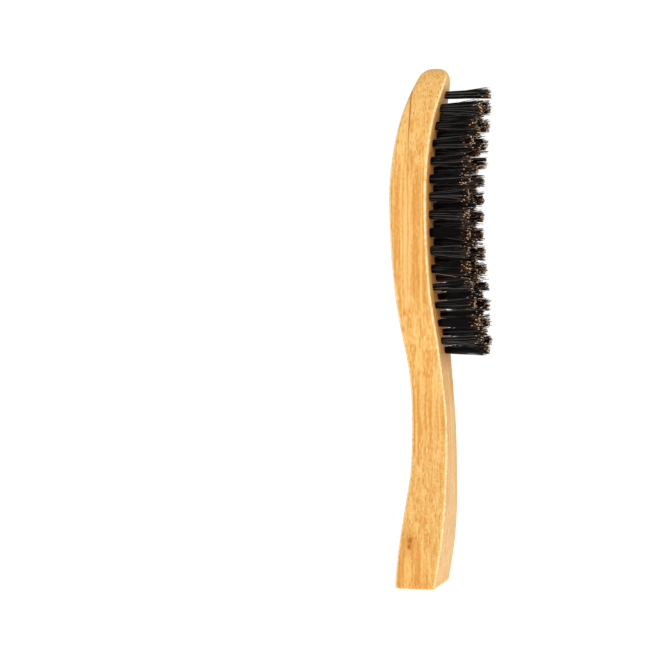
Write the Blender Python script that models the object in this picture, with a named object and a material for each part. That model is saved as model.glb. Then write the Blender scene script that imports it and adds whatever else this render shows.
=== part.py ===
"""Beard brush: a one-piece bamboo stock with three rows of bristle tufts.

Frame: +Z runs from the flat end of the handle to the point of the head, the
bristles point to -Y, the width lies along X.  The origin is the centre of the
flat handle end.  All sizes are in metres.
"""

import math

import bmesh
import bpy
import numpy as np
from mathutils import Matrix, Vector

# ---- overall sizes of the stock -------------------------------------------
HANDLE_LENGTH = 0.103     # flat end to the shoulders of the head
HEAD_LENGTH = 0.097       # shoulders to the point
HEAD_WIDTH = 0.0277       # across the parallel part of the head
WAIST_WIDTH = 0.0174      # narrowest part of the handle
HEEL_WIDTH = 0.0263       # across the flared handle end
STOCK_THICKNESS = 0.0147  # front to back in the middle of the head
BOW_DEPTH = 0.0050        # how far the handle's belly bows forward

# ---- edges ----------------------------------------------------------------
EDGE_RADIUS = 0.0016      # long edges
EDGE_LIMIT = 0.8          # most of the half width a long edge may take near the point
HEEL_RADIUS = 0.0011      # edge round the flat handle end
FRONT_CROWN = 0.0046      # radius at the top of the head on the bristle side
BACK_CROWN = 0.0030       # and on the back

# Heights are written as steps along the brush: 0 is the flat end, 1 is the
# shoulders and 2 is the point, so handle and head can be lengthened alone.

# ---- outline seen from the front --------------------------------------------
HEEL_TOP = 0.068          # the flare keeps its width up to here
WAIST = 0.641
SHOULDERS = 1.0           # where the handle swells into the head
SHOULDER_SHARE = 0.943    # width there, as a share of HEAD_WIDTH
SHOULDER_SLOPE = 0.155    # sideways growth of each edge per length of handle
CHEEKS = 1.113            # start of the parallel part
ARCH_START = 1.466        # start of the pointed arch
ARCH_REACH = 2.002        # where the two sides of the arch would meet
ARCH_FULLNESS = 0.65      # below 1 the arch is fuller than a parabola

# ---- side profile: step along the brush, centre line to the back (+) or to
# the front (-) in BOW_DEPTHs, thickness in STOCK_THICKNESSes
SIDE_PROFILE = (
    (0.000, 0.000, 1.080),    # flat end
    (0.097, -0.248, 1.145),
    (0.194, -0.500, 1.155),   # thickest part of the heel
    (0.311, -0.760, 1.090),
    (0.437, -0.952, 0.995),
    (0.563, -0.973, 0.973),   # belly of the handle
    (0.699, -0.873, 0.928),
    (0.825, -0.637, 0.903),   # thinnest part of the neck
    (0.951, -0.270, 0.950),
    (1.093, 0.125, 0.962),
    (1.247, 0.400, 0.980),
    (1.381, 0.516, 0.990),
    (1.474, 0.552, 1.000),    # back of the head
    (1.588, 0.476, 0.982),
    (1.701, 0.248, 0.945),
    (1.804, -0.096, 0.905),
    (1.897, -0.600, 0.865),
    (2.000, -1.200, 0.720),   # point of the head
)

# ---- bristle field ----------------------------------------------------------
ROW_COUNT = 14            # evenly stepped tufts in each of the three rows
MIDDLE_ROW = (0.888, 1.807)    # steps of the first and the last of them
OUTER_ROW = (0.923, 1.837)
POINT_TUFT = 1.892        # one more tuft closes the middle row at the point
ROW_INSET = 0.455         # outline to the outer rows, in half head widths
LOWER_TUCK = 0.072        # more inset at the lowest outer tufts, the same way
TUCK_ONSET = 6            # higher keeps the tuck nearer the lowest tuft
FAN_LEVEL = 1.505         # a tuft at this step is level
FAN_DISTANCE = 0.72       # the tufts fan out from a line this far behind them
HOLE_DIAMETER = 0.0033
HOLE_DEPTH = 0.0082
TUFT_LENGTH = 0.0174      # wood to tips, middle row
TRIM_STEP = 0.0012        # the right row stands longer, the left row shorter
WORN_EDGE = 0.15          # bevel round the tips, in tip radii
FIT_GAP = 0.00020         # free space round a tuft and round an anchor

# ---- anchors ----------------------------------------------------------------
ANCHOR_THICKNESS = 0.00035
ANCHOR_HEIGHT = 0.0016
FOLD_THICKNESS = 0.0009   # bristle under the anchor

# ---- mesh fineness ----------------------------------------------------------
RING_STEPS = 48           # sections along the stock
CORNER_STEPS = 4          # flats in each rounded corner
NEAR_TIP = (0.65, 0.3)    # extra sections within the last step below the crown
HOLE_SIDES = 16
TUFT_SIDES = 10


# ---- small tools ------------------------------------------------------------

def clear_scene():
    """Start from nothing."""
    for old in list(bpy.data.objects):
        bpy.data.objects.remove(old, do_unlink=True)


def material(name, colour, roughness, metallic=0.0):
    """A plain named finish."""
    made = bpy.data.materials.new(name)
    made.use_nodes = True
    shader = made.node_tree.nodes["Principled BSDF"]
    shader.inputs["Base Color"].default_value = (*colour, 1.0)
    shader.inputs["Roughness"].default_value = roughness
    shader.inputs["Metallic"].default_value = metallic
    made.diffuse_color = (*colour, 1.0)
    return made


def add_object(name, mesh, finish=None):
    """Put a mesh into the scene under its own name."""
    made = bpy.data.objects.new(name, mesh)
    bpy.context.collection.objects.link(made)
    if finish is not None and not mesh.materials:
        mesh.materials.append(finish)
    return made


def smooth_sides(mesh, angle=35.0):
    """Shade round surfaces smooth and keep the sharp edges."""
    mesh.shade_smooth()
    mesh.set_sharp_from_angle(angle=math.radians(angle))


def spline(heights, values):
    """Natural cubic spline through the given stations, as a function."""
    x, y = np.asarray(heights, float), np.asarray(values, float)
    h, rise = np.diff(x), np.diff(y)
    bend = np.eye(len(x))
    pull = np.zeros(len(x))
    for i in range(1, len(x) - 1):
        bend[i, i - 1:i + 2] = h[i - 1], 2.0 * (h[i - 1] + h[i]), h[i]
        pull[i] = 6.0 * (rise[i] / h[i] - rise[i - 1] / h[i - 1])
    m = np.linalg.solve(bend, pull)

    def at(z):
        i = int(np.clip(np.searchsorted(x, z) - 1, 0, len(h) - 1))
        a, b = (x[i + 1] - z) / h[i], (z - x[i]) / h[i]
        return (a * y[i] + b * y[i + 1]
                + ((a ** 3 - a) * m[i] + (b ** 3 - b) * m[i + 1]) * h[i] ** 2 / 6.0)

    return at


def ease(z, start, end):
    """Cubic curve from start to end, each (height, value, slope)."""
    (z0, v0, s0), (z1, v1, s1) = start, end
    h = z1 - z0
    t = (z - z0) / h
    return (v0 * (2 * t ** 3 - 3 * t ** 2 + 1) + v1 * (3 * t ** 2 - 2 * t ** 3)
            + h * s0 * (t ** 3 - 2 * t ** 2 + t) + h * s1 * (t ** 3 - t ** 2))


# ---- shape of the stock -------------------------------------------------------

TOTAL_LENGTH = HANDLE_LENGTH + HEAD_LENGTH


def height(step):
    """Height above the flat end of a step along the brush."""
    return min(step, 1.0) * HANDLE_LENGTH + max(step - 1.0, 0.0) * HEAD_LENGTH


centre_line = spline([height(p[0]) for p in SIDE_PROFILE],
                     [p[1] * BOW_DEPTH for p in SIDE_PROFILE])
thickness = spline([height(p[0]) for p in SIDE_PROFILE],
                   [p[2] * STOCK_THICKNESS for p in SIDE_PROFILE])


def half_width(z):
    """Half the width of the outline at height z."""
    heel_top = (height(HEEL_TOP), HEEL_WIDTH / 2, 0.0)
    waist = (height(WAIST), WAIST_WIDTH / 2, 0.0)
    shoulders = (height(SHOULDERS), SHOULDER_SHARE * HEAD_WIDTH / 2, SHOULDER_SLOPE)
    cheeks = (height(CHEEKS), HEAD_WIDTH / 2, 0.0)
    if z <= heel_top[0]:
        return HEEL_WIDTH / 2
    for start, end in ((heel_top, waist), (waist, shoulders), (shoulders, cheeks)):
        if z <= end[0]:
            return ease(z, start, end)
    arch_start = height(ARCH_START)
    t = max(0.0, z - arch_start) / (height(ARCH_REACH) - arch_start)
    return HEAD_WIDTH / 2 * (1.0 - t * t) ** ARCH_FULLNESS


def front(z):
    """Y of the front face at height z."""
    return centre_line(z) - thickness(z) / 2


def back(z):
    """Y of the back face at height z."""
    return centre_line(z) + thickness(z) / 2


def rounding(distance, radius):
    """How far a quarter round stands back at this distance from the end."""
    if distance >= radius:
        return 0.0
    return radius - math.sqrt(radius ** 2 - (radius - distance) ** 2)


def section(z):
    """Rounded rectangle at height z, anticlockwise seen from above."""
    heel = rounding(z, HEEL_RADIUS)
    from_top = TOTAL_LENGTH - z
    w = half_width(z) - heel
    y_front = front(z) + heel + rounding(from_top, FRONT_CROWN)
    y_back = back(z) - heel - rounding(from_top, BACK_CROWN)
    r = min(EDGE_RADIUS, EDGE_LIMIT * w)
    points = []
    for cx, cy, start in ((w - r, y_back - r, 0.0), (r - w, y_back - r, 90.0),
                          (r - w, y_front + r, 180.0), (w - r, y_front + r, 270.0)):
        for k in range(CORNER_STEPS + 1):
            a = math.radians(start + 90.0 * k / CORNER_STEPS)
            points.append((cx + r * math.cos(a), cy + r * math.sin(a), z))
    return points


def section_heights():
    """Close sections at both ends, even ones between."""
    quarter = [math.radians(90.0 * k / CORNER_STEPS) for k in range(CORNER_STEPS + 1)]
    heel = [HEEL_RADIUS * (1.0 - math.cos(a)) for a in quarter]
    deep = max(FRONT_CROWN, BACK_CROWN)
    crown = [TOTAL_LENGTH - deep * (1.0 - math.sin(a)) for a in quarter]
    even = np.linspace(heel[-1], crown[0], RING_STEPS)[1:-1]
    near_tip = [crown[0] - (crown[0] - even[-1]) * s for s in NEAR_TIP]
    return heel + list(even) + near_tip + crown


def build_stock(finish):
    """Loft the sections into one closed body."""
    heights = section_heights()
    per_ring = 4 * (CORNER_STEPS + 1)
    vertices = [p for z in heights for p in section(z)]
    faces = [tuple(range(per_ring))[::-1]]
    for i in range(len(heights) - 1):
        low, high = i * per_ring, (i + 1) * per_ring
        for k in range(per_ring):
            n = (k + 1) % per_ring
            faces.append((low + k, low + n, high + n, high + k))
    top = (len(heights) - 1) * per_ring
    faces.append(tuple(range(top, top + per_ring)))
    mesh = bpy.data.meshes.new("stock")
    mesh.from_pydata(vertices, [], faces)
    mesh.validate()
    return add_object("stock", mesh, finish)


# ---- bristle field ------------------------------------------------------------

def row_heights(row):
    """Evenly stepped heights of one row."""
    return np.linspace(height(row[0]), height(row[1]), ROW_COUNT)


def outer_offset(z):
    """Sideways distance of the outer rows: they follow the outline."""
    low, high = (height(end) for end in OUTER_ROW)
    below_middle = max(0.0, 1.0 - 2.0 * (z - low) / (high - low))
    inset = ROW_INSET + LOWER_TUCK * below_middle ** TUCK_ONSET
    return half_width(z) - inset * HEAD_WIDTH / 2


def tuft_frame(x, z):
    """Place of a tuft: origin on the front face, local +Z along the bristles."""
    lift = (z - height(FAN_LEVEL)) / FAN_DISTANCE
    axis = Vector((0.0, -math.cos(lift), math.sin(lift)))
    across = Vector((1.0, 0.0, 0.0))
    turn = Matrix((across, axis.cross(across), axis)).transposed().to_4x4()
    return Matrix.Translation((x, front(z), z)) @ turn


def field():
    """Every tuft as (row name, number, frame)."""
    places = []
    for k, z in enumerate([*row_heights(MIDDLE_ROW), height(POINT_TUFT)]):
        places.append(("middle", k + 1, tuft_frame(0.0, z)))
    for k, z in enumerate(row_heights(OUTER_ROW)):
        places.append(("left", k + 1, tuft_frame(-outer_offset(z), z)))
        places.append(("right", k + 1, tuft_frame(outer_offset(z), z)))
    return places


def closest_pair(places):
    """Smallest distance between the middles of two tufts at the wood."""
    roots = np.array([frame.translation for _, _, frame in places])
    apart = np.linalg.norm(roots[:, None] - roots[None], axis=2)
    return apart[apart > 0.0].min()


def turned(profile, sides):
    """Closed body turned about Z from (radius, height) pairs, bottom first."""
    shape = bmesh.new()
    rings = []
    for radius, height in profile:
        rings.append([shape.verts.new((radius * math.cos(2 * math.pi * k / sides),
                                       radius * math.sin(2 * math.pi * k / sides),
                                       height)) for k in range(sides)])
    shape.faces.new(rings[0][::-1])
    shape.faces.new(rings[-1])
    for low, high in zip(rings, rings[1:]):
        for k in range(sides):
            n = (k + 1) % sides
            shape.faces.new((low[k], low[n], high[n], high[k]))
    return shape


def block(size, centre):
    """Closed rectangular body."""
    shape = bmesh.new()
    bmesh.ops.create_cube(shape, size=1.0)
    bmesh.ops.scale(shape, vec=size, verts=shape.verts)
    bmesh.ops.translate(shape, vec=centre, verts=shape.verts)
    return shape


def to_mesh(shape, name):
    """Finish a bmesh as a named mesh."""
    bmesh.ops.recalc_face_normals(shape, faces=shape.faces)
    mesh = bpy.data.meshes.new(name)
    shape.to_mesh(mesh)
    shape.free()
    return mesh


def cut(target, cutter):
    """Subtract a hidden cutter from the target, exactly."""
    cutter.hide_render = True
    cutter.display_type = "WIRE"
    modifier = target.modifiers.new("cut", "BOOLEAN")
    modifier.operation = "DIFFERENCE"
    modifier.solver = "EXACT"
    modifier.object = cutter


def baked(target):
    """Mesh of the target with its cuts carried out."""
    bpy.context.view_layer.update()
    graph = bpy.context.evaluated_depsgraph_get()
    return bpy.data.meshes.new_from_object(target.evaluated_get(graph))


def bore_holes(stock, places):
    """Bore one flat-bottomed blind hole for each tuft."""
    clear_of_wood = EDGE_RADIUS + HOLE_DIAMETER
    bores = bmesh.new()
    bit = to_mesh(turned([(HOLE_DIAMETER / 2, -HOLE_DEPTH),
                          (HOLE_DIAMETER / 2, clear_of_wood)], HOLE_SIDES), "bit")
    for _, _, frame in places:
        known = len(bores.verts)
        bores.from_mesh(bit)
        bores.verts.ensure_lookup_table()
        bmesh.ops.transform(bores, matrix=frame, verts=bores.verts[known:])
    cutter = add_object("bores", to_mesh(bores, "bores"))
    cut(stock, cutter)
    drilled = baked(stock)
    stock.modifiers.clear()
    stock.data = drilled
    bpy.data.objects.remove(cutter, do_unlink=True)
    smooth_sides(stock.data)


def tuft_mesh(name, length, tip, finish):
    """Folded bundle: straight in its hole, spreading to its tip radius outside."""
    radius = HOLE_DIAMETER / 2 - FIT_GAP
    foot = FIT_GAP - HOLE_DEPTH
    worn_edge = tip * WORN_EDGE
    body = add_object(name, to_mesh(turned(
        [(radius, foot), (radius, 0.0), (tip, length - worn_edge),
         (tip - worn_edge, length)], TUFT_SIDES), name), finish)
    window = ANCHOR_HEIGHT + 2 * FIT_GAP
    eye = add_object("eye", to_mesh(block(
        (HOLE_DIAMETER * 2, ANCHOR_THICKNESS + 2 * FIT_GAP, window),
        (0.0, 0.0, foot + FOLD_THICKNESS + window / 2)), "eye"))
    cut(body, eye)
    mesh = baked(body)
    mesh.name = name
    for used in (body, eye):
        bpy.data.objects.remove(used, do_unlink=True)
    smooth_sides(mesh)
    return mesh


def anchor_mesh(finish):
    """Flat strip lying across the hole, inside the fold."""
    foot = FIT_GAP - HOLE_DEPTH + FOLD_THICKNESS + FIT_GAP
    mesh = to_mesh(block((HOLE_DIAMETER - FIT_GAP, ANCHOR_THICKNESS, ANCHOR_HEIGHT),
                         (0.0, 0.0, foot + ANCHOR_HEIGHT / 2)), "anchor")
    mesh.materials.append(finish)
    return mesh


# ---- the whole brush ------------------------------------------------------------

def build():
    clear_scene()
    bamboo = material("bamboo", (0.86, 0.56, 0.27), 0.45)
    bristle = material("bristle", (0.015, 0.013, 0.012), 0.5)
    steel = material("anchor_steel", (0.62, 0.62, 0.60), 0.35, metallic=1.0)

    places = field()
    stock = build_stock(bamboo)
    bore_holes(stock, places)

    lengths = {"left": TUFT_LENGTH - TRIM_STEP, "middle": TUFT_LENGTH,
               "right": TUFT_LENGTH + TRIM_STEP}
    tip = closest_pair(places) / 2 - FIT_GAP  # neighbours spread until they meet
    bundles = {row: tuft_mesh(f"{row}_bundle", length, tip, bristle)
               for row, length in lengths.items()}
    strip = anchor_mesh(steel)
    for row, number, frame in places:
        tuft = add_object(f"tuft_{row}_{number:02d}", bundles[row])
        tuft.matrix_world = frame
        if row == "middle":
            anchor = add_object(f"anchor_{row}_{number:02d}", strip)
            anchor.matrix_world = frame
    bpy.context.view_layer.update()


build()
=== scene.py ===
# %% [markdown]
# # A beard brush in bamboo and black bristle
# The brush is one length of laminated bamboo, bent in side view like a lazy S, with three rows
# of bristle tufts set into the hollow front of its head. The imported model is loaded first: it
# fixes every size and place, and this script only adds the looks.

# %% Load the fixed model
import math

import bpy
import numpy as np
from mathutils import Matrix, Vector


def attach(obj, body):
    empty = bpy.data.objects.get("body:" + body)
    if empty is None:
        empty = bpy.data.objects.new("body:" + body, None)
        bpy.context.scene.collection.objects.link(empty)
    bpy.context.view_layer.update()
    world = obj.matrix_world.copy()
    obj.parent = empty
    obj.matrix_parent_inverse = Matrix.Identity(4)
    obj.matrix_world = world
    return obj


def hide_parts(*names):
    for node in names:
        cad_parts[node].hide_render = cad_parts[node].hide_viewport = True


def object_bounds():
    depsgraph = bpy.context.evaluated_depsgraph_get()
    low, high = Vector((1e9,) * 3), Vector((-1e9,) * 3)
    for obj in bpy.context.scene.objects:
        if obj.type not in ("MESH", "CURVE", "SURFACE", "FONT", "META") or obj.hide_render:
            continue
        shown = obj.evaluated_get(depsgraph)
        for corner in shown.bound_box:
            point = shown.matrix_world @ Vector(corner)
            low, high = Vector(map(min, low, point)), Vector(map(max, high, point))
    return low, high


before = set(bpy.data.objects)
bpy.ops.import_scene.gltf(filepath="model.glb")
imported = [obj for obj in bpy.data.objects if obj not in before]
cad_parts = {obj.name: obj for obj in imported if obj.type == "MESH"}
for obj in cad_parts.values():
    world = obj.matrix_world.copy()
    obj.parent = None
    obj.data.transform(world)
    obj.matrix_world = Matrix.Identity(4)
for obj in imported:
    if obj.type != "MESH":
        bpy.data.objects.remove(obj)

fixed_box = [list(map(float, corner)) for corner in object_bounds()]
tuft_nodes = sorted(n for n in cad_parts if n.startswith("tuft_"))
anchor_nodes = sorted(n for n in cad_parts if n.startswith("anchor_"))
print("tufts", len(tuft_nodes), "anchors", len(anchor_nodes), "box", fixed_box)

# %% [markdown]
# ## The camera
# A slim upright object is best seen with a long lens from a little way off, so its two ends
# keep the same scale. The camera stands level with the middle of the brush and looks at its
# side, turned a few degrees towards the bristles. The lens is shifted sideways, not turned,
# because turning it would make the brush lean.

# %% Camera
TURN = math.radians(-77.0)         # from the bristle side round to the brush's left side
STAND_OFF = 0.66                   # from the middle of the brush
FOCAL_LENGTH = 94.8                # in millimetres, a long lens
SHIFT_SIDEWAYS = -0.1545           # in picture widths, so the brush stands to the right
SHIFT_UPWARDS = 0.0070
middle = Vector((0.0, 0.0, 0.5 * (fixed_box[0][2] + fixed_box[1][2])))
towards_camera = Vector((math.sin(TURN), -math.cos(TURN), 0.0))
camera_right = Vector((math.cos(TURN), math.sin(TURN), 0.0))

camera_data = bpy.data.cameras.new("camera")
camera_data.lens = FOCAL_LENGTH
camera_data.shift_x = SHIFT_SIDEWAYS
camera_data.shift_y = SHIFT_UPWARDS
camera_data.clip_start = 0.01
camera = bpy.data.objects.new("camera", camera_data)
camera.location = middle + towards_camera * STAND_OFF
camera.rotation_euler = (-towards_camera).to_track_quat("-Z", "Y").to_euler()
bpy.context.collection.objects.link(camera)
bpy.context.scene.camera = camera
bpy.context.scene.view_settings.view_transform = "Standard"
print("camera at", [round(v, 3) for v in camera.location])

# %% [markdown]
# ## Node helpers
# A finish is a small network of shader nodes. A few helpers keep each finish short: one makes
# a new material and hands back its tree, one adds a node and fills in its sockets, and the
# others each stand for one common node: a sum, a blend of two colours, or a stretched range.

# %% Node helpers
def add_node(tree, kind, inputs=None, **settings):
    """Adds a node, sets its properties, then fills or links the named or numbered inputs."""
    node = tree.nodes.new(kind)
    for key, value in settings.items():
        setattr(node, key, value)
    for key, value in (inputs or {}).items():
        if isinstance(value, bpy.types.NodeSocket):
            tree.links.new(value, node.inputs[key])
        else:
            node.inputs[key].default_value = value
    return node


def new_finish(name):
    """A material with an empty tree but for its shader and output."""
    finish = bpy.data.materials.new(name)
    finish.use_nodes = True
    return finish, finish.node_tree, finish.node_tree.nodes["Principled BSDF"]


def arithmetic(tree, operation, first, second=0.0, third=0.0, clamp=False):
    """One Math node; gives back its value."""
    return add_node(tree, "ShaderNodeMath", {0: first, 1: second, 2: third},
                    operation=operation, use_clamp=clamp).outputs[0]


def times(tree, first, second, clamp=False):
    """First times second."""
    return arithmetic(tree, "MULTIPLY", first, second, clamp=clamp)


def times_plus(tree, first, second, third, clamp=False):
    """First times second, plus third."""
    return arithmetic(tree, "MULTIPLY_ADD", first, second, third, clamp)


def distance_between(tree, first, second):
    """How far two values lie apart, whichever is larger."""
    return arithmetic(tree, "ABSOLUTE", arithmetic(tree, "SUBTRACT", first, second))


def place_arithmetic(tree, operation, first, second):
    """One Vector Math node on two places; gives back the new place."""
    return add_node(tree, "ShaderNodeVectorMath", {0: first, 1: second},
                    operation=operation).outputs[0]


def blend(tree, amount, below, above):
    """Mixes two values by an amount from 0 to 1; gives back the value."""
    return add_node(tree, "ShaderNodeMix", {0: amount, 2: below, 3: above},
                    data_type="FLOAT").outputs[0]


def blend_colours(tree, amount, below, above):
    """Mixes two colours by an amount from 0 to 1; gives back the colour."""
    return add_node(tree, "ShaderNodeMix", {0: amount, 6: below, 7: above},
                    data_type="RGBA").outputs[2]


def stretched(tree, value, low, high, bottom=0.0, top=1.0):
    """Maps low..high to bottom..top and cuts off what lies outside."""
    return add_node(tree, "ShaderNodeMapRange",
                    {0: value, 1: low, 2: high, 3: bottom, 4: top}).outputs[0]


# %% [markdown]
# ## Floor and light
# A bare white surround is the plainest studio there is. The floor is pale and matt and glows a
# little, so no shadow greys it. The world gives soft light from everywhere, two large panels
# light the side of the brush from the left and the right, and a tall narrow one beside it
# draws a highlight along the rounded edges.

# %% Floor
FLOOR_SIZE = 12.0
FLOOR_DROP = 0.0002                # the floor lies this far below the handle end
PALE = (0.92, 0.92, 0.92, 1.0)
WHITE = (1.0, 1.0, 1.0, 1.0)
floor_finish, floor_tree, floor_shader = new_finish("pale_floor")
floor_shader.inputs["Base Color"].default_value = PALE
floor_shader.inputs["Roughness"].default_value = 0.9
floor_shader.inputs["Specular IOR Level"].default_value = 0.1
floor_shader.inputs["Emission Color"].default_value = WHITE
floor_shader.inputs["Emission Strength"].default_value = 0.62

floor_mesh = bpy.data.meshes.new("floor")
half = FLOOR_SIZE / 2
floor_mesh.from_pydata([(-half, -half, 0.0), (half, -half, 0.0), (half, half, 0.0),
                        (-half, half, 0.0)], [], [(0, 1, 2, 3)])
floor_mesh.materials.append(floor_finish)
floor = bpy.data.objects.new("floor", floor_mesh)
floor.location.z = fixed_box[0][2] - FLOOR_DROP
bpy.context.collection.objects.link(floor)

# %% World
ROOM_LIGHT = 0.50                  # strength of the light that the room gives
BACKDROP = 1.05                    # and of the white that is seen behind the brush
world = bpy.data.worlds.new("white_room")
world.use_nodes = True
bpy.context.scene.world = world
backdrop = world.node_tree.nodes["Background"]
backdrop.inputs["Color"].default_value = WHITE
seen = add_node(world.node_tree, "ShaderNodeLightPath").outputs["Is Camera Ray"]
strength = times_plus(world.node_tree, seen, BACKDROP - ROOM_LIGHT, ROOM_LIGHT)
world.node_tree.links.new(strength, backdrop.inputs["Strength"])
print("world", ROOM_LIGHT, "behind the brush", BACKDROP)


# %% Light panels
def add_panel(name, nearer, rightwards, upwards, size, power):
    """A flat light panel, so wide and so tall, that faces the middle of the brush. It stands
    that far from the brush towards the camera, to the camera's right and up."""
    place = middle + towards_camera * nearer + camera_right * rightwards + up * upwards
    data = bpy.data.lights.new(name, "AREA")
    data.shape = "RECTANGLE"
    data.size, data.size_y = size
    data.energy = power
    panel = bpy.data.objects.new(name, data)
    panel.location = place
    panel.rotation_euler = (place - middle).to_track_quat("Z", "Y").to_euler()
    bpy.context.collection.objects.link(panel)
    return panel


up = Vector((0.0, 0.0, 1.0))
add_panel("main_panel", 0.80, 0.45, 0.35, (0.6, 0.6), 3.0)
add_panel("side_panel", 0.90, -0.60, 0.20, (0.8, 0.8), 2.1)
add_panel("edge_panel", 0.20, 1.00, 0.00, (0.12, 0.9), 0.70)
print("panels", [light.name for light in bpy.data.lights])

# %% [markdown]
# ## The shape of the stock
# A maker saws the side profile out of a thick bamboo board, saws the outline from the front,
# then rounds the edges. The surface is built the same way: at every height there is one
# rounded rectangle. Its width follows the outline, its front and back follow the profile.

# %% Sizes of the stock
HANDLE_LENGTH = 0.103              # flat end to the shoulders of the head
HEAD_LENGTH = 0.097                # shoulders to the point
HEAD_WIDTH = 0.0277
WAIST_WIDTH = 0.0174               # narrowest part of the handle
HEEL_WIDTH = 0.0263                # across the flared handle end
STOCK_THICKNESS = 0.0147
BOW_DEPTH = 0.0050                 # how far the handle's belly bows forward
EDGE_RADIUS = 0.0016
EDGE_LIMIT = 0.8                   # most of the half width an edge takes near the point
HEEL_RADIUS = 0.0011
FRONT_CROWN = 0.0046               # radius at the top of the head, bristle side
BACK_CROWN = 0.0030                # and on the back
LENGTH = HANDLE_LENGTH + HEAD_LENGTH
print("stock", LENGTH, "long,", HEAD_WIDTH, "wide")

# %% Side profile
# Heights are written as steps: 0 is the flat end, 1 the shoulders, 2 the point of the head.
# The bow is counted in BOW_DEPTHs and the thickness in STOCK_THICKNESSes.
profile_steps = np.array([0.000, 0.097, 0.194, 0.311, 0.437, 0.563, 0.699, 0.825, 0.951, 1.093,
                          1.247, 1.381, 1.474, 1.588, 1.701, 1.804, 1.897, 2.000])
profile_bow = np.array([0.000, -0.248, -0.500, -0.760, -0.952, -0.973, -0.873, -0.637, -0.270,
                        0.125, 0.400, 0.516, 0.552, 0.476, 0.248, -0.096, -0.600, -1.200])
profile_depth = np.array([1.080, 1.145, 1.155, 1.090, 0.995, 0.973, 0.928, 0.903, 0.950, 0.962,
                          0.980, 0.990, 1.000, 0.982, 0.945, 0.905, 0.865, 0.720])


def height(step):
    """Height of a step: 0 is the flat end, 1 the shoulders, 2 the point of the head."""
    step = np.asarray(step, float)
    return np.minimum(step, 1.0) * HANDLE_LENGTH + np.maximum(step - 1.0, 0.0) * HEAD_LENGTH


def spline(x, y):
    """Natural cubic spline through (x, y): its second slopes solve one small linear system,
    and between two stations the curve is their straight blend plus a cubic correction."""
    h, rise = np.diff(x), np.diff(y)
    system = np.diag(np.r_[1.0, 2.0 * (h[:-1] + h[1:]), 1.0])
    system += np.diag(np.r_[0.0, h[1:]], 1) + np.diag(np.r_[h[:-1], 0.0], -1)
    bend = np.linalg.solve(system, np.r_[0.0, 6.0 * np.diff(rise / h), 0.0])

    def at(z):
        i = np.clip(np.searchsorted(x, z) - 1, 0, len(h) - 1)
        a, b = (x[i + 1] - z) / h[i], (z - x[i]) / h[i]
        return (a * y[i] + b * y[i + 1]
                + ((a ** 3 - a) * bend[i] + (b ** 3 - b) * bend[i + 1]) * h[i] ** 2 / 6.0)
    return at


centre_line = spline(height(profile_steps), profile_bow * BOW_DEPTH)
thickness = spline(height(profile_steps), profile_depth * STOCK_THICKNESS)


print("thickness in the middle of the head", float(thickness(height(1.474)).round(5)))

# %% Outline
HEEL_TOP, WAIST, SHOULDERS, CHEEKS = 0.068, 0.641, 1.0, 1.113
ARCH_START = 1.466                 # start of the pointed arch
ARCH_REACH = 2.002                 # where the two sides of the arch would meet
ARCH_FULLNESS = 0.65               # below 1 the arch is fuller than a parabola
SHOULDER_SHARE = 0.943             # width at the shoulders, as a share of HEAD_WIDTH
SHOULDER_SLOPE = 0.155


def half_width(z):
    """Half the outline's width: cubic curves with given slopes from heel to waist to
    shoulders to cheeks, then a parallel part, then an arch (1 - t^2)^ARCH_FULLNESS."""
    stations = height([0.0, HEEL_TOP, WAIST, SHOULDERS, CHEEKS, ARCH_START])
    widths = 0.5 * np.array([HEEL_WIDTH, HEEL_WIDTH, WAIST_WIDTH, SHOULDER_SHARE * HEAD_WIDTH,
                             HEAD_WIDTH, HEAD_WIDTH])
    slopes = np.array([0.0, 0.0, 0.0, SHOULDER_SLOPE, 0.0, 0.0])
    i = np.clip(np.searchsorted(stations, z) - 1, 0, len(stations) - 2)
    h = stations[i + 1] - stations[i]
    t = np.clip((z - stations[i]) / h, 0.0, 1.0)
    body = (widths[i] * (2 * t ** 3 - 3 * t ** 2 + 1) + widths[i + 1] * (3 * t ** 2 - 2 * t ** 3)
            + h * slopes[i] * (t ** 3 - 2 * t ** 2 + t) + h * slopes[i + 1] * (t ** 3 - t ** 2))
    arch = np.clip((z - stations[-1]) / (height(ARCH_REACH) - stations[-1]), 0.0, 1.0)
    return body * (1.0 - arch ** 2) ** ARCH_FULLNESS


print("half widths", half_width(height([0.0, WAIST, CHEEKS, ARCH_START])).round(5))

# %% [markdown]
# ## The skin of the stock
# Each ring has four quarter-round corners joined by straight stretches. Both ends pull in by a
# quarter round as well, so no edge of the brush is sharp. The rings stand closer together at
# the ends, where the shape changes fastest.

# %% Rings of the stock
CORNER_POINTS = 9                  # in each rounded corner of a ring
FLAT_POINTS = 12                   # in each straight stretch
BODY_RINGS = 260
HEEL_RINGS = 9
CROWN_RINGS = 19


def pull_in(distance, radius):
    """How far a quarter round of this radius stands back at a distance from the end."""
    d = np.clip(distance, 0.0, radius)
    return radius - np.sqrt(radius ** 2 - (radius - d) ** 2)


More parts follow.
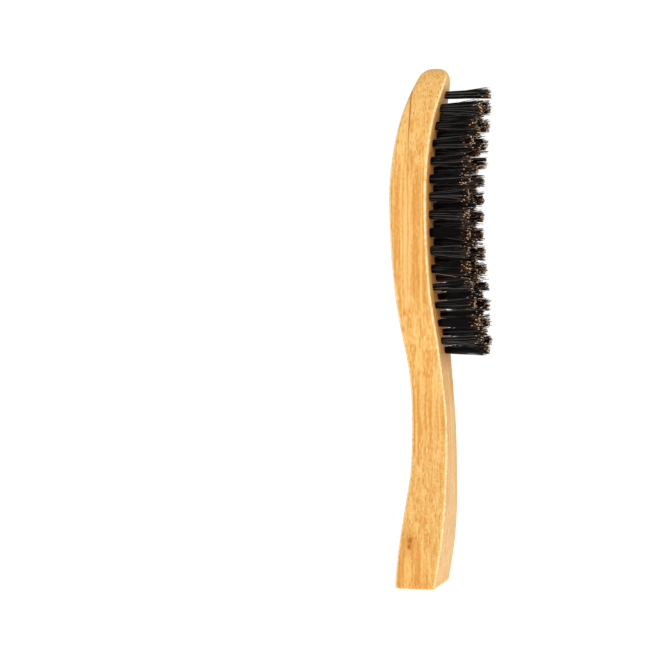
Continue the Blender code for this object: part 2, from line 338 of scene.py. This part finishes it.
def stock_rings(z):
    """One rounded rectangle for each height: corner arcs first, straight stretches between."""
    heel = pull_in(z, HEEL_RADIUS)
    wide = half_width(z) - heel
    front = centre_line(z) - thickness(z) / 2 + heel + pull_in(LENGTH - z, FRONT_CROWN)
    back = centre_line(z) + thickness(z) / 2 - heel - pull_in(LENGTH - z, BACK_CROWN)
    r = np.minimum(EDGE_RADIUS, EDGE_LIMIT * wide)
    corners = ((wide - r, back - r), (r - wide, back - r), (r - wide, front + r), (wide - r, front + r))
    centres = np.stack([np.stack(corner, -1) for corner in corners], 1)
    turn = np.radians(np.linspace(0.0, 90.0, CORNER_POINTS) + 90.0 * np.arange(4)[:, None])
    arcs = centres[:, :, None] + r[:, None, None, None] * np.stack([np.cos(turn), np.sin(turn)], -1)
    share = (np.arange(1, FLAT_POINTS + 1) / (FLAT_POINTS + 1))[:, None]
    ends, starts = arcs[:, :, -1:], np.roll(arcs[:, :, :1], -1, axis=1)
    flats = ends * (1.0 - share) + starts * share
    ring = np.concatenate([arcs, flats], axis=2).reshape(len(z), -1, 2)
    return np.concatenate([ring, np.broadcast_to(z[:, None, None], ring.shape[:2] + (1,))], -1)


heel_turn = np.radians(np.linspace(0.0, 90.0, HEEL_RINGS))
crown_turn = np.radians(np.linspace(0.0, 90.0, CROWN_RINGS))
ring_heights = np.concatenate([
    HEEL_RADIUS * (1.0 - np.cos(heel_turn)),
    np.linspace(HEEL_RADIUS, LENGTH - FRONT_CROWN, BODY_RINGS)[1:-1],
    LENGTH - FRONT_CROWN * (1.0 - np.sin(crown_turn))])
rings = stock_rings(ring_heights)
print("rings", rings.shape)

# %% [markdown]
# ## From points to a mesh
# Every shape here is a block of points in rows. Neighbouring rows make quads, and the first and
# last rows close with one flat polygon each. Writing whole arrays at once keeps it fast.

# %% Mesh helpers
def mesh_from(name, points, *polygon_sets):
    """Writes points and sets of equal-sided polygons straight into a new mesh."""
    mesh = bpy.data.meshes.new(name)
    corners = np.concatenate([p.ravel() for p in polygon_sets]).astype(np.int32)
    sizes = np.concatenate([np.full(len(p), p.shape[1]) for p in polygon_sets])
    mesh.vertices.add(len(points))
    mesh.vertices.foreach_set("co", np.ascontiguousarray(points, np.float32).ravel())
    mesh.loops.add(len(corners))
    mesh.loops.foreach_set("vertex_index", corners)
    mesh.polygons.add(len(sizes))
    mesh.polygons.foreach_set("loop_start", np.r_[0, np.cumsum(sizes)[:-1]].astype(np.int32))
    mesh.update(calc_edges=True)
    mesh.shade_smooth()
    return mesh


def tube_faces(rows, around):
    """Quads between closed rings that go anticlockwise seen from the last ring, and two caps."""
    k = np.arange(rows - 1)[:, None] * around
    a = np.arange(around)[None]
    b = (a + 1) % around
    quads = np.stack([k + a, k + b, k + around + b, k + around + a], -1).reshape(-1, 4)
    first = np.arange(around)[None, ::-1]
    last = (rows - 1) * around + np.arange(around)[None]
    return quads, np.concatenate([first, last])


def add_piece(name, mesh, finish, slot, *nodes):
    """Puts a mesh into the scene as a piece that stands for the given nodes."""
    mesh.materials.clear()
    mesh.materials.append(finish)
    piece = bpy.data.objects.new(name, mesh)
    bpy.context.collection.objects.link(piece)
    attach(piece, "root")
    if nodes:
        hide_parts(*nodes)
    return piece


# %% [markdown]
# ## Where the tufts stand
# The model already holds a simple solid for each tuft, so its place is read from there. The
# ring furthest from the bristle tips is the foot of the tuft at the bottom of its hole, and the
# ring furthest forward is its tip. The line between them is the way the bristles point.

# %% Tuft axes
def direction(start, end):
    """The way from one point to another, one unit long."""
    return (end - start) / np.linalg.norm(end - start)


ROUGH_DEPTH = 0.0004               # points this near an end give the tuft's rough direction
FLAT_DEPTH = 0.00002               # and points this near, measured along it, are the end


def points_of(node):
    """All the points of one piece of the fixed model."""
    mesh = bpy.data.objects[node].data
    points = np.empty(len(mesh.vertices) * 3, np.float32)
    mesh.vertices.foreach_get("co", points)
    return points.reshape(-1, 3).astype(float)


def tuft_line(node):
    """Foot, tip and root radius of a tuft: the middles of its rearmost and foremost rings."""
    points = points_of(node)
    depth = points[:, 1]
    far = points[depth > depth.max() - ROUGH_DEPTH].mean(0)
    near = points[depth < depth.min() + ROUGH_DEPTH].mean(0)
    along = (points - far) @ direction(far, near)
    foot = points[along < along.min() + FLAT_DEPTH]
    tip = points[along > along.max() - FLAT_DEPTH]
    middle_foot = (foot.max(0) + foot.min(0)) / 2
    middle_tip = (tip.max(0) + tip.min(0)) / 2
    return middle_foot, middle_tip, np.ptp(foot[:, 0]) / 2


tuft_lines = {node: tuft_line(node) for node in tuft_nodes}
print("first tuft", [np.round(v, 5) for v in tuft_lines[tuft_nodes[0]]])

# %% [markdown]
# ## Boring the holes
# Each tuft sits in a blind hole, and the dark rim where it leaves the wood shows that it does.
# One cutter holds a thin rod for every hole and is taken away from the skin in a single exact
# Boolean, so all the rims are cut cleanly into the same surface.

# %% Bores
HOLE_RADIUS = 0.00165
HOLE_DEPTH = 0.0082
FIT_GAP = 0.0002                   # free space under a tuft
CUTTER_LENGTH = 0.0130             # reaches from a tuft's foot well out of the wood
BORE_SIDES = 28


def rod(foot, tip, radius, sides):
    """A straight rod between two points: a circle carried along a line."""
    way = direction(foot, tip)
    side = np.cross(way, (1.0, 0.0, 0.0))
    side /= np.linalg.norm(side)
    turn = np.linspace(0.0, 2.0 * np.pi, sides, endpoint=False)[:, None]
    circle = radius * (np.cos(turn) * np.cross(side, way) + np.sin(turn) * side)
    return np.concatenate([foot + circle[::-1], tip + circle[::-1]])


bore_points, bore_quads, bore_caps = [], [], []
quads, caps = tube_faces(2, BORE_SIDES)
for n, (foot, tip, _) in enumerate(tuft_lines.values()):
    way = direction(foot, tip)
    bore_points.append(rod(foot - way * FIT_GAP, foot + way * CUTTER_LENGTH, HOLE_RADIUS, BORE_SIDES))
    bore_quads.append(quads + 2 * BORE_SIDES * n)
    bore_caps.append(caps + 2 * BORE_SIDES * n)
bore_mesh = mesh_from("bores", np.concatenate(bore_points), np.concatenate(bore_quads),
                      np.concatenate(bore_caps))
cutter = bpy.data.objects.new("bores", bore_mesh)
bpy.context.collection.objects.link(cutter)

# %% Bored stock
blank = bpy.data.objects.new("blank", mesh_from(
    "blank", rings.reshape(-1, 3), *tube_faces(*rings.shape[:2])))
bpy.context.collection.objects.link(blank)
boring = blank.modifiers.new("boring", "BOOLEAN")
boring.operation = "DIFFERENCE"
boring.solver = "EXACT"
boring.object = cutter
bpy.context.view_layer.update()
stock_mesh = bpy.data.meshes.new_from_object(
    blank.evaluated_get(bpy.context.evaluated_depsgraph_get()))
stock_mesh.name = "stock_wood"
stock_mesh.shade_smooth()
stock_mesh.set_sharp_from_angle(angle=math.radians(40.0))
for used in (blank, cutter):
    bpy.data.objects.remove(used, do_unlink=True)
print("stock faces", len(stock_mesh.polygons))

# %% [markdown]
# ## Bamboo
# Bamboo is a bundle of straight fibres. A board sawn along them shows long streaks, and where
# the saw runs off the line the same fibres come out as short dashes and dots. So the pattern
# is a solid one, with every cell drawn out along Z, and the surface simply cuts through it.

# %% Places in the bamboo
bamboo, wood, wood_shader = new_finish("bamboo")
coordinates = add_node(wood, "ShaderNodeTexCoord")
place = coordinates.outputs["Object"]
axes = add_node(wood, "ShaderNodeSeparateXYZ", {0: place})
facing = add_node(wood, "ShaderNodeSeparateXYZ", {0: coordinates.outputs["Normal"]})
across_x, across_y, upright = (axes.outputs[name] for name in "XYZ")
print("bamboo starts from", sorted(node.name for node in wood.nodes))


# %% [markdown]
# ## Where the saw cuts across the fibres
# The fibres run straight, but the brush bends. Where its surface follows them they show as long
# streaks, and where it runs through them they show as short dashes. On the sides that is at the
# neck and low on the handle, on the front and back at the heel, and everywhere near the point.

# %% Cut zones
BELOW, ABOVE = -1.0, 0.250         # heights well clear of both ends of the brush


def between(low, high, blur):
    """1 between two heights, falling to 0 over a soft edge outside them."""
    return times(wood, stretched(wood, upright, low - blur, low),
                 stretched(wood, upright, high, high + blur, 1.0, 0.0))


on_front = stretched(wood, arithmetic(wood, "ABSOLUTE", facing.outputs["Y"]), 0.50, 0.85)
on_sides = arithmetic(wood, "MAXIMUM", between(0.084, 0.104, 0.010), between(0.022, 0.056, 0.010))
shallow_cut = blend(wood, on_front, on_sides, between(BELOW, 0.022, 0.026))
cut_across = arithmetic(wood, "MAXIMUM", between(0.172, ABOVE, 0.016), shallow_cut)
print("nodes after the cut zones", len(wood.nodes))

# %% Fibre directions
STRAIGHT_GRAIN = 0.115             # height where the fibres run longest in the surface
SHORTENING = 110.0                 # how fast they get shorter away from that height
MOST_SWAY = 0.0007                 # how far the fibres wander where they are cut across
offset = arithmetic(wood, "SUBTRACT", upright, STRAIGHT_GRAIN)
run = times_plus(wood, arithmetic(wood, "POWER", offset, 3.0), SHORTENING, upright)
straight_place = add_node(wood, "ShaderNodeCombineXYZ", {0: across_x, 1: across_y, 2: run}).outputs[0]


def drawn_out(across, along, source):
    """The place in cells: so many to the metre across the fibres and along them."""
    return add_node(wood, "ShaderNodeMapping",
                    {"Vector": source, "Scale": (across, across, along)}).outputs[0]


lazy = add_node(wood, "ShaderNodeTexNoise", {"Vector": drawn_out(160.0, 240.0, place),
                                             "Scale": 1.0, "Detail": 1.0}).outputs[1]
sway_size = stretched(wood, cut_across, 0.0, 1.0, 0.0, MOST_SWAY)
sway = add_node(wood, "ShaderNodeVectorMath", {0: lazy, "Scale": sway_size},
                operation="SCALE").outputs[0]
sway = place_arithmetic(wood, "MULTIPLY", sway, (1.0, 1.0, 0.0))
fibre_place = place_arithmetic(wood, "ADD", straight_place, sway)
print("fibres run straight at", STRAIGHT_GRAIN, "and sway by up to", MOST_SWAY)


# %% Grain
def noise(across, along, detail):
    """Cloudy noise from -1 to 1, drawn out along the fibres."""
    cloud = add_node(wood, "ShaderNodeTexNoise", {"Vector": drawn_out(across, along, fibre_place),
                                                  "Scale": 1.0, "Detail": detail})
    return stretched(wood, cloud.outputs[0], 0.30, 0.70, -1.0)


def cells(across, along, core, rim, channel):
    """Long cells: 1 inside the core and 0 outside the rim, and a random shade for each."""
    split = add_node(wood, "ShaderNodeTexVoronoi", {"Vector": drawn_out(across, along, fibre_place),
                                                    "Scale": 1.0, "Randomness": 1.0})
    shade = add_node(wood, "ShaderNodeSeparateColor", {0: split.outputs["Color"]}).outputs[channel]
    return stretched(wood, split.outputs["Distance"], core, rim, 1.0, 0.0), shade


fibre, fibre_shade = cells(1400.0, 75.0, 0.20, 0.46, 0)
fleck, fleck_shade = cells(1600.0, 120.0, 0.18, 0.42, 1)
fine_grain = noise(1400.0, 70.0, 2.0)
speckle = noise(1300.0, 500.0, 1.0)
streaks = noise(900.0, 5.0, 1.0)
bands = noise(330.0, 4.0, 2.0)
patches = noise(70.0, 24.0, 2.0)
print("nodes after the grain", len(wood.nodes))

# %% [markdown]
# ## Boards, glue line and knot
# The head is glued up from two bamboo boards, and the paler one forms its back. The joint shows
# as a thin brown line, strongest near the point. Low on the handle a bud once grew out of the
# cane and left a knot: two small dark eyes in a brown halo. Faint lines across the front and
# the back of the head are the nodes of the cane.

# %% Glued joint
GLUE_LINE = 0.0026                 # distance of the glued joint behind the centre of the heel
WAVER = 0.00008
SEAM_CORE, SEAM_RIM = 0.00010, 0.00045
SEAM_HEIGHT = 0.184                # where the line is strongest
HANDLE_TONE = 0.37                 # the handle is one board, of a tone between the two
behind = arithmetic(wood, "SUBTRACT", across_y, times_plus(wood, bands, WAVER, GLUE_LINE))
in_handle = stretched(wood, upright, 0.080, 0.116, 1.0, 0.0)
back_board = blend(wood, in_handle, times_plus(wood, behind, 5000.0, 0.5, clamp=True), HANDLE_TONE)
seam_strength = stretched(wood, distance_between(wood, upright, SEAM_HEIGHT), 0.006, 0.022, 1.0, 0.22)
seam = times(wood, stretched(wood, arithmetic(wood, "ABSOLUTE", behind), SEAM_CORE, SEAM_RIM, 1.0, 0.0),
             seam_strength)
seam = times(wood, seam, arithmetic(wood, "SUBTRACT", 1.0, in_handle))
print("glued joint at", GLUE_LINE)


# %% Knot
def spot(centre, radius, softness):
    """1 inside a ball with a ragged soft rim, 0 outside it. The ball is drawn out along Z."""
    away = place_arithmetic(wood, "SUBTRACT", place, centre)
    away = place_arithmetic(wood, "MULTIPLY", away, (1.0, 1.0, 0.7))
    far = add_node(wood, "ShaderNodeVectorMath", {0: away}, operation="LENGTH").outputs["Value"]
    ragged = times_plus(wood, fine_grain, 0.25 * radius, far)
    return stretched(wood, ragged, radius * (1.0 - softness), radius * (1.0 + softness), 1.0, 0.0)


eyes = arithmetic(wood, "MAXIMUM", spot((-0.0131, 0.0017, 0.0186), 0.0008, 0.5),
                  spot((-0.0131, 0.0022, 0.0161), 0.0007, 0.5))
halo = spot((-0.0131, 0.0023, 0.0176), 0.0026, 0.8)

# %% Nodes of the cane
NODE_HEIGHTS = (0.1645, 0.1090)
NODE_WIDTH = 0.00035


def cross_line(level):
    """1 on a thin level line round the stock that wavers a little, 0 elsewhere."""
    bent = times_plus(wood, patches, 2.0 * NODE_WIDTH, upright)
    return stretched(wood, distance_between(wood, bent, level), 0.2 * NODE_WIDTH, NODE_WIDTH, 1.0, 0.0)


nodes_of_cane = arithmetic(wood, "MAXIMUM", *(cross_line(level) for level in NODE_HEIGHTS))
print("nodes of the cane at", NODE_HEIGHTS)

# %% [markdown]
# ## Bamboo colours
# The ground runs from honey to straw, and every pattern above pushes it one way or the other.
# Brown fibres, pale flecks, the joint, the nodes and the knot are then laid over it in turn.
# Between the tufts the wood is browner, as painted shade where the tufts shade the face, and the rounded
# edges are paler, as a painted highlight.

# %% Bamboo ground
HONEY = (0.675, 0.295, 0.055, 1.0)
STRAW = (0.848, 0.512, 0.168, 1.0)
FACE_HONEY = (0.780, 0.430, 0.130, 1.0)
FACE_STRAW = (0.920, 0.640, 0.280, 1.0)
FACE_SHARE = 0.20                  # how far the front and back faces take their own tones


def weigh(*layers):
    """Sum of layers around a half: each is (value, weight)."""
    total = 0.5
    for value, weight in layers:
        total = times_plus(wood, value, weight, total)
    return total


long_streaks = times(wood, streaks, stretched(wood, cut_across, 0.0, 1.0, 0.70, 0.36))
straight_cut = stretched(wood, cut_across, 0.0, 1.0, -1.0, 0.0)
pale_point = between(0.192, ABOVE, 0.030)
tone = weigh((fine_grain, 0.24), (speckle, 0.27), (long_streaks, 1.0), (bands, 0.16),
             (patches, 0.04), (straight_cut, 0.13), (pale_point, 0.44))
tone = times_plus(wood, back_board, 0.30, tone, clamp=True)
colour = blend_colours(wood, times(wood, on_front, FACE_SHARE),
                       blend_colours(wood, tone, HONEY, STRAW),
                       blend_colours(wood, tone, FACE_HONEY, FACE_STRAW))
print("nodes after the ground", len(wood.nodes))

# %% Fibres and flecks
FIBRE_BROWN = (0.640, 0.245, 0.032, 1.0)
PALE_FLECK = (0.960, 0.700, 0.330, 1.0)
dashed = stretched(wood, cut_across, 0.0, 1.0, 0.35, 0.86)
gentler = times_plus(wood, times(wood, on_front, -0.2), dashed, dashed)
end_dots = times_plus(wood, between(BELOW, 0.002, 0.004), 0.5, gentler)
dash = times(wood, times(wood, fibre, end_dots), stretched(wood, fibre_shade, 0.15, 0.60), clamp=True)
light_dash = times(wood, times(wood, fleck, dashed), stretched(wood, fleck_shade, 0.40, 0.75, 0.0, 0.80))
colour = blend_colours(wood, dash, colour, FIBRE_BROWN)
colour = blend_colours(wood, light_dash, colour, PALE_FLECK)

# %% Joint, nodes and knot
GLUE_BROWN = (0.430, 0.150, 0.030, 1.0)
KNOT_BROWN = (0.400, 0.120, 0.012, 1.0)
colour = blend_colours(wood, times(wood, seam, 0.95), colour, GLUE_BROWN)
colour = blend_colours(wood, times(wood, nodes_of_cane, times(wood, on_front, 0.35)), colour, FIBRE_BROWN)
colour = blend_colours(wood, times(wood, halo, 0.6), colour, FIBRE_BROWN)
colour = blend_colours(wood, times(wood, eyes, 0.9), colour, KNOT_BROWN)

# %% Painted shade between the tufts
# Painted shade: the front face near the tuft rows is darkened to brown where the tufts cast shade on it.
TUFT_SHADE_BROWN = (0.430, 0.155, 0.028, 1.0)
in_front = stretched(wood, facing.outputs["Y"], -0.85, -0.60, 1.0, 0.0)
near_rows = stretched(wood, arithmetic(wood, "ABSOLUTE", across_x), 0.0065, 0.0140, 1.0, 0.0)
painted_tuft_shade = times(wood, times(wood, in_front, near_rows), between(0.089, 0.188, 0.007))
colour = blend_colours(wood, times(wood, painted_tuft_shade, 0.66), colour, TUFT_SHADE_BROWN)

# %% Painted highlight on the rounded edges
# On a rounded edge both X and Y of the facing are large, so their product finds it.
# Painted highlight: a pale speckled band on the rounded edges stands in for the highlight that light draws
# along them.
EDGE_HIGHLIGHT = (0.980, 0.755, 0.430, 1.0)
corner = arithmetic(wood, "ABSOLUTE", times(wood, facing.outputs["X"], facing.outputs["Y"]))
painted_edge_highlight = times(wood, stretched(wood, corner, 0.34, 0.48, 0.0, 0.95),
               times_plus(wood, speckle, 0.5, 0.8), clamp=True)
colour = blend_colours(wood, painted_edge_highlight, colour, EDGE_HIGHLIGHT)

# %% Oiled surface
RELIEF_DEPTH = 0.00006
relief = times_plus(wood, dash, -1.0, fine_grain)
bump = add_node(wood, "ShaderNodeBump", {"Height": relief, "Strength": 0.35, "Distance": RELIEF_DEPTH})
wood.links.new(colour, wood_shader.inputs["Base Color"])
wood.links.new(times_plus(wood, fine_grain, 0.08, 0.40), wood_shader.inputs["Roughness"])
wood.links.new(bump.outputs[0], wood_shader.inputs["Normal"])
wood_shader.inputs["Specular IOR Level"].default_value = 0.13
wood_shader.inputs["Coat Weight"].default_value = 0.02
wood_shader.inputs["Coat Roughness"].default_value = 0.3
stock = add_piece("stock_wood", stock_mesh, bamboo, "bamboo", "stock")
print("bamboo nodes", len(wood.nodes))

# %% [markdown]
# ## Bristle
# Boar bristle is black and glossy along its length, but the cut tips are split and paler, from
# brown to tan. Two values stored on the mesh carry that: how far along the bristle a point
# lies, and a random tone for each bristle.

# %% Bristle tones
bristle, hair, hair_shader = new_finish("black_bristle")
SOOT = (0.0010, 0.0009, 0.0009, 1.0)
# Painted highlight: the grey below colours one bristle in five along its length in place of the sheen of
# light on it.
SHEEN_GREY = (0.085, 0.076, 0.070, 1.0)
UMBER = (0.080, 0.031, 0.011, 1.0)
TAN = (1.00, 0.64, 0.34, 1.0)
# Painted highlight: the grey below colours the cut ends of some bristles in place of the glints of light on
# them.
GLINT_GREY = (0.700, 0.640, 0.580, 1.0)
STRAW_HAIR = (0.42, 0.27, 0.13, 1.0)
along = add_node(hair, "ShaderNodeAttribute", attribute_name="along").outputs["Fac"]
hair_tone = add_node(hair, "ShaderNodeAttribute", attribute_name="hair_tone").outputs["Fac"]
second_tone = arithmetic(hair, "FRACT", times(hair, hair_tone, 17.3))

# %% Bristle colours
near_tip = add_node(hair, "ShaderNodeMapRange", {0: along, 1: 0.80, 2: 0.96},
                    interpolation_type="SMOOTHSTEP").outputs[0]
split_tip = stretched(hair, along, 0.955, 0.972)
cut_face = stretched(hair, along, 0.990, 0.998)
painted_sheen = arithmetic(hair, "GREATER_THAN", second_tone, 0.80)
is_brown = arithmetic(hair, "LESS_THAN", second_tone, 0.28)
painted_glint = arithmetic(hair, "LESS_THAN", distance_between(hair, second_tone, 0.6), 0.08)
is_fair = arithmetic(hair, "GREATER_THAN", hair_tone, 0.996)
is_tan = times_plus(hair, hair_tone, 10.0, -6.6, clamp=True)
hair_colour = blend_colours(hair, times(hair, painted_sheen, 0.8), SOOT, SHEEN_GREY)
hair_colour = blend_colours(hair, times(hair, near_tip, is_brown), hair_colour, UMBER)
hair_colour = blend_colours(hair, times(hair, split_tip, is_tan), hair_colour, TAN)
hair_colour = blend_colours(hair, cut_face, hair_colour, SOOT)
hair_colour = blend_colours(hair, times(hair, cut_face, painted_glint), hair_colour, GLINT_GREY)
hair_colour = blend_colours(hair, is_fair, hair_colour, STRAW_HAIR)
hair.links.new(hair_colour, hair_shader.inputs["Base Color"])
hair_shader.inputs["Roughness"].default_value = 0.28
hair_shader.inputs["Specular IOR Level"].default_value = 0.07
print("bristle nodes", len(hair.nodes))

# %% [markdown]
# ## Folded bristles
# A brush maker takes a pinch of long bristles, folds it over a flat wire anchor and drives both
# into the hole. So every bristle here is one long path: from one tip down into the hole, round
# under the anchor and up to the other tip. A thin circle is carried along each path.

# %% Places of the bristles
BRISTLE_RADIUS = 0.000135
BRISTLE_SIDES = 5
BESIDE_ANCHOR = 0.00031            # nearest that a bristle comes to the anchor's middle
SUNFLOWER_TURN = 2.399963          # the golden angle, which spreads points evenly
RIM_CROWDING = 0.42                # a half would be even, less is fuller at the rim


def leg_places(rng, count, radius):
    """A filled half disc, a little fuller at its rim: sunflower spiral places at radius
    R * (k / count)^RIM_CROWDING, folded over to one side."""
    k = np.arange(count) + 0.5
    r = radius * (k / count) ** RIM_CROWDING * (1.0 + 0.04 * rng.standard_normal(count))
    turn = k * SUNFLOWER_TURN + rng.uniform(0.0, 6.28)
    return np.minimum(r, radius) * np.cos(turn), np.abs(np.minimum(r, radius) * np.sin(turn))


# %% One leg of a bristle
MOUTH_SPREAD = 0.18                # how much wider the tuft gets just above the wood
SPREAD_BEND = 0.72                 # below 1 the legs lean out early and straighten later
USUAL_BEND = 0.00032
CROOKED_SHARE = 0.07               # share of bristles that bend four times as far
MOST_BEND = 0.0014                 # furthest that a tip bends to one side
IN_HOLE = np.array([0.0, 0.3, 0.65, 1.0])
IN_AIR = np.array([0.03, 0.14, 0.3, 0.5, 0.7, 0.86, 0.965, 1.0])


def leg_path(rng, a, b, wide_b, side, length, spread, foot):
    """Points of one leg, from the foot of the straight part up to the tip. Outside the hole a
    bristle leans away from the middle in step with its place, and bends a little."""
    rise = IN_HOLE[None] * -foot[:, None] + foot[:, None]
    h = np.concatenate([rise, IN_AIR[None] * length[:, None]], 1)
    free = np.clip(h, 0.0, None) / length[:, None]
    parted = np.clip(h / foot[:, None], 0.0, 1.0)
    lean = (1.0 + MOUTH_SPREAD * np.clip(free / 0.03, 0.0, 1.0)
            + (spread[:, None] - 1.0 - MOUTH_SPREAD) * free ** SPREAD_BEND)
    bend = rng.normal(0.0, USUAL_BEND, (len(a), 2))
    bend *= np.where(rng.random(len(a)) < CROOKED_SHARE, 4.0, 1.0)[:, None]
    bend = np.clip(bend, -MOST_BEND, MOST_BEND)
    x = a[:, None] * lean + bend[:, :1] * free ** 2
    y = side * (b[:, None] * lean + (wide_b - b)[:, None] * parted) + bend[:, 1:] * free ** 2
    return np.stack([x, y, h], -1), free


# %% All the paths of a tuft
OPENNESS = (1.36, 1.68)            # width of a tuft at the tips, in widths at the wood
STRAY_SPREAD = 1.5                 # most that a stray leans out beyond that
UNEVEN_TRIM = 0.00020
SHORTEST = 0.0040                  # a few bristles end this far below the tips
UNDER_ANCHOR = np.radians(np.array([30.0, 60.0, 90.0, 120.0, 150.0]))


def folded_bristles(rng, radius, length, count, stray_share):
    """Paths of all the bristles of one tuft: leg, half circle under the anchor, other leg."""
    a, b = leg_places(rng, count, radius - BRISTLE_RADIUS)
    wide_b = BESIDE_ANCHOR + b * (1.0 - BESIDE_ANCHOR / radius)
    turn_centre = np.full(count, FIT_GAP - HOLE_DEPTH + radius)
    openness = rng.uniform(*OPENNESS)
    legs = []
    for side in (1.0, -1.0):
        reach = length + rng.normal(0.0, UNEVEN_TRIM, count) - SHORTEST * rng.random(count) ** 1.9
        spread = (openness + 0.15 * rng.standard_normal(count)
                  + STRAY_SPREAD * rng.random(count) * (rng.random(count) < stray_share))
        legs.append(leg_path(rng, a, b, wide_b, side, reach, spread, turn_centre))
    folds = len(UNDER_ANCHOR)
    arc = np.stack([np.broadcast_to(a[:, None], (count, folds)),
                    wide_b[:, None] * np.cos(UNDER_ANCHOR),
                    turn_centre[:, None] - wide_b[:, None] * np.sin(UNDER_ANCHOR)], -1)
    path = np.concatenate([legs[0][0][:, ::-1], arc, legs[1][0]], 1)
    free = np.concatenate([legs[0][1][:, ::-1], np.zeros((count, folds)), legs[1][1]], 1)
    return path, free


# %% Skin of the bristles
TAPER = 0.08                       # share of its radius that a bristle loses up to the tip


def carried_circles(path, free):
    """A circle at every point of every path, square to the path, thinner towards the tips."""
    tangent = np.gradient(path, axis=1)
    tangent /= np.linalg.norm(tangent, axis=-1, keepdims=True)
    across = np.array([1.0, 0.0, 0.0]) - tangent[..., :1] * tangent
    across /= np.linalg.norm(across, axis=-1, keepdims=True)
    third = np.cross(tangent, across)
    turn = np.linspace(0.0, 2.0 * np.pi, BRISTLE_SIDES, endpoint=False)
    r = (BRISTLE_RADIUS * (1.0 - TAPER * free ** 2))[..., None, None]
    return (path[:, :, None] + r * (np.cos(turn)[:, None] * across[:, :, None]
                                    + np.sin(turn)[:, None] * third[:, :, None]))


def tuft_mesh(name, circles, free, tones, foot, way):
    """One mesh of all the bristles of a tuft, stood in its hole and pointed its way."""
    count, rows, around = circles.shape[:3]
    across = np.array([1.0, 0.0, 0.0])
    mouth = foot + way * (HOLE_DEPTH - FIT_GAP)
    points = mouth + circles.reshape(-1, 3) @ np.stack([across, np.cross(way, across), way])
    quads, caps = tube_faces(rows, around)
    step = (np.arange(count) * rows * around)[:, None, None]
    mesh = mesh_from(name, points, (quads[None] + step).reshape(-1, 4),
                     (caps[None] + step).reshape(-1, around))
    for attribute, values in (("along", np.repeat(free.reshape(-1), around)),
                              ("hair_tone", np.repeat(tones, rows * around))):
        mesh.attributes.new(attribute, "FLOAT", "POINT").data.foreach_set("value", values)
    mesh.set_sharp_from_angle(angle=math.radians(60.0))
    return mesh


# %% [markdown]
# ## Trimming the tufts
# The rows are trimmed by hand, so no two tufts are quite the same length. A shallow dip shows
# halfway up the head, and the lowest tufts of the longer row are cut a little shorter. About a
# third of the bristles stray out of their tuft, but none does in the lone tuft at the point.

# %% All the tufts
FOLDS = 54                         # folded bristles in a tuft, two tips each
STRAYS = 0.34                      # share of bristles that splay out of a tuft
TRIM = (-0.0004, 0.0006)           # how far one tuft differs from the next
point_tuft = max(tuft_nodes, key=lambda node: tuft_lines[node][0][2])


def dip(z, level, reach, depth):
    """A smooth dip in the tips: deepest at one height and fading on both sides of it."""
    return depth * math.exp(-((z - level) / reach) ** 2)


for number, (node, (foot, tip, root_radius)) in enumerate(tuft_lines.items()):
    rng = np.random.default_rng(1000 + number)
    length = np.linalg.norm(tip - foot) + FIT_GAP - HOLE_DEPTH
    length += rng.uniform(*TRIM) - dip(foot[2], 0.128, 0.018, 0.0006)
    length -= dip(foot[2], 0.093, 0.012, 0.0010) * (foot[0] > 0.001)
    strays = 0.0 if node == point_tuft else STRAYS
    path, free = folded_bristles(rng, root_radius, length, FOLDS, strays)
    mesh = tuft_mesh(f"bristles_{node[5:]}", carried_circles(path, free), free, rng.random(FOLDS),
                     foot, direction(foot, tip))
    add_piece(mesh.name, mesh, bristle, "bristle", node)
print("bristles", FOLDS * len(tuft_nodes), "faces in a tuft", len(mesh.polygons))

# %% [markdown]
# ## Anchors
# The anchors are short lengths of flat wire and stay out of sight at the bottom of the holes.
# Flat wire is round wire that was rolled, so its two narrow edges stay round, and each end
# shows the shear that cut it. The strip's place and size are read from the model.

# %% Anchor finish
DULL_STEEL = (0.42, 0.42, 0.41, 1.0)
BRIGHT_STEEL = (0.68, 0.68, 0.66, 1.0)
anchor_steel, steel, steel_shader = new_finish("anchor_steel")
place = add_node(steel, "ShaderNodeTexCoord").outputs["Object"]
lines = add_node(steel, "ShaderNodeMapping", {"Vector": place, "Scale": (900.0, 9000.0, 9000.0)}).outputs[0]
scratches = add_node(steel, "ShaderNodeTexNoise", {"Vector": lines, "Scale": 1.0, "Detail": 3.0}).outputs[0]
steel.links.new(blend_colours(steel, scratches, DULL_STEEL, BRIGHT_STEEL), steel_shader.inputs["Base Color"])
steel.links.new(times_plus(steel, scratches, 0.3, 0.2), steel_shader.inputs["Roughness"])
steel_shader.inputs["Metallic"].default_value = 1.0

# %% Anchor strips
EDGE_STEPS = 7                     # points round each narrow edge
STOPS = np.array([-1.0, -0.985, -0.95, 0.95, 0.985, 1.0])    # sections, in half lengths
SHRINK = np.array([0.86, 0.96, 1.0, 1.0, 0.96, 0.86])        # the shear squeezes the ends


def strip_points(node):
    """Rings along the strip: a stadium shape (two half rounds joined by flats), shrunk a
    little at both sheared ends. The box corners of the model's own strip give the size."""
    corners = points_of(node)
    centre = corners.mean(0)
    long, tall, _ = np.linalg.svd(corners - centre)[2]
    thin = np.cross(long, tall)
    half_sizes = [np.abs((corners - centre) @ axis).max() for axis in (long, tall, thin)]
    round_edge = half_sizes[2]
    turn = np.radians(np.linspace(-90.0, 90.0, EDGE_STEPS))
    upper = np.stack([half_sizes[1] - round_edge + round_edge * np.cos(turn),
                      round_edge * np.sin(turn)], -1)
    flat = np.concatenate([upper, -upper])[None] * SHRINK[:, None, None]
    return (centre + half_sizes[0] * STOPS[:, None, None] * long
            + flat[..., :1] * tall + flat[..., 1:] * thin)


for node in anchor_nodes:
    strip = strip_points(node)
    mesh = mesh_from(f"wire_{node}", strip.reshape(-1, 3), *tube_faces(*strip.shape[:2]))
    mesh.set_sharp_from_angle(angle=math.radians(35.0))
    add_piece(f"wire_{node}", mesh, anchor_steel, "anchor_steel", node)
print("anchor strips", len(anchor_nodes))
